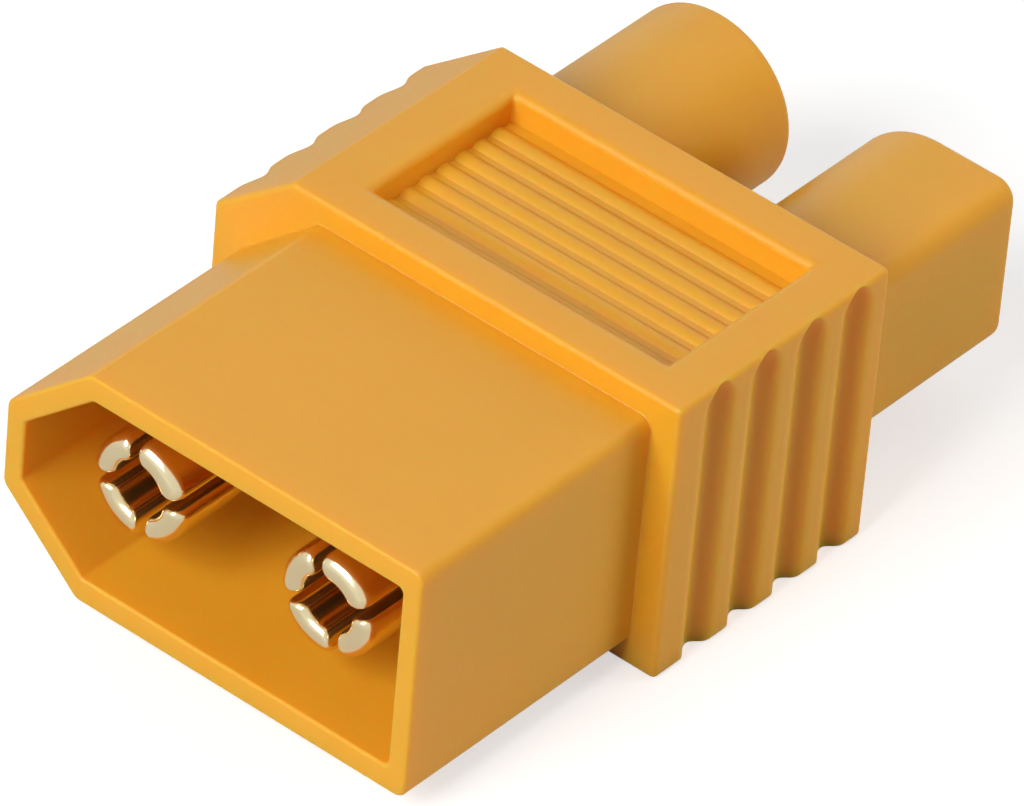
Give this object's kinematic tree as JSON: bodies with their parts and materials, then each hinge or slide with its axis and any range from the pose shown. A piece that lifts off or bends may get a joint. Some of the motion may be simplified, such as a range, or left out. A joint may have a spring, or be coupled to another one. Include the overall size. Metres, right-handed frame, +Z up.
{
  "type": "battery connector adapter",
  "caption": "Moulded nylon adapter with a keyed shroud around split plug pins at the front and a round and a D-shaped socket barrel at the rear, joining two kinds of battery plug",
  "frame": {"origin": "under the middle of the whole part, on the plane that the collar's underside rests on", "axes": "+X from the negative pole to the positive pole, +Y from the plug's mouth to the barrels, +Z up through the ridged recess"},
  "size_m": [0.0176, 0.0274, 0.01],
  "materials": {
    "nylon": "matte moulded nylon, orange-yellow",
    "gold_plated_brass": "polished, pale gold plating"
  },
  "bodies": {
    "root": {"housing": "nylon", "negative_pin": "gold_plated_brass", "positive_pin": "gold_plated_brass", "negative_socket": "gold_plated_brass", "positive_socket": "gold_plated_brass"}
  },
  "joints": []
}
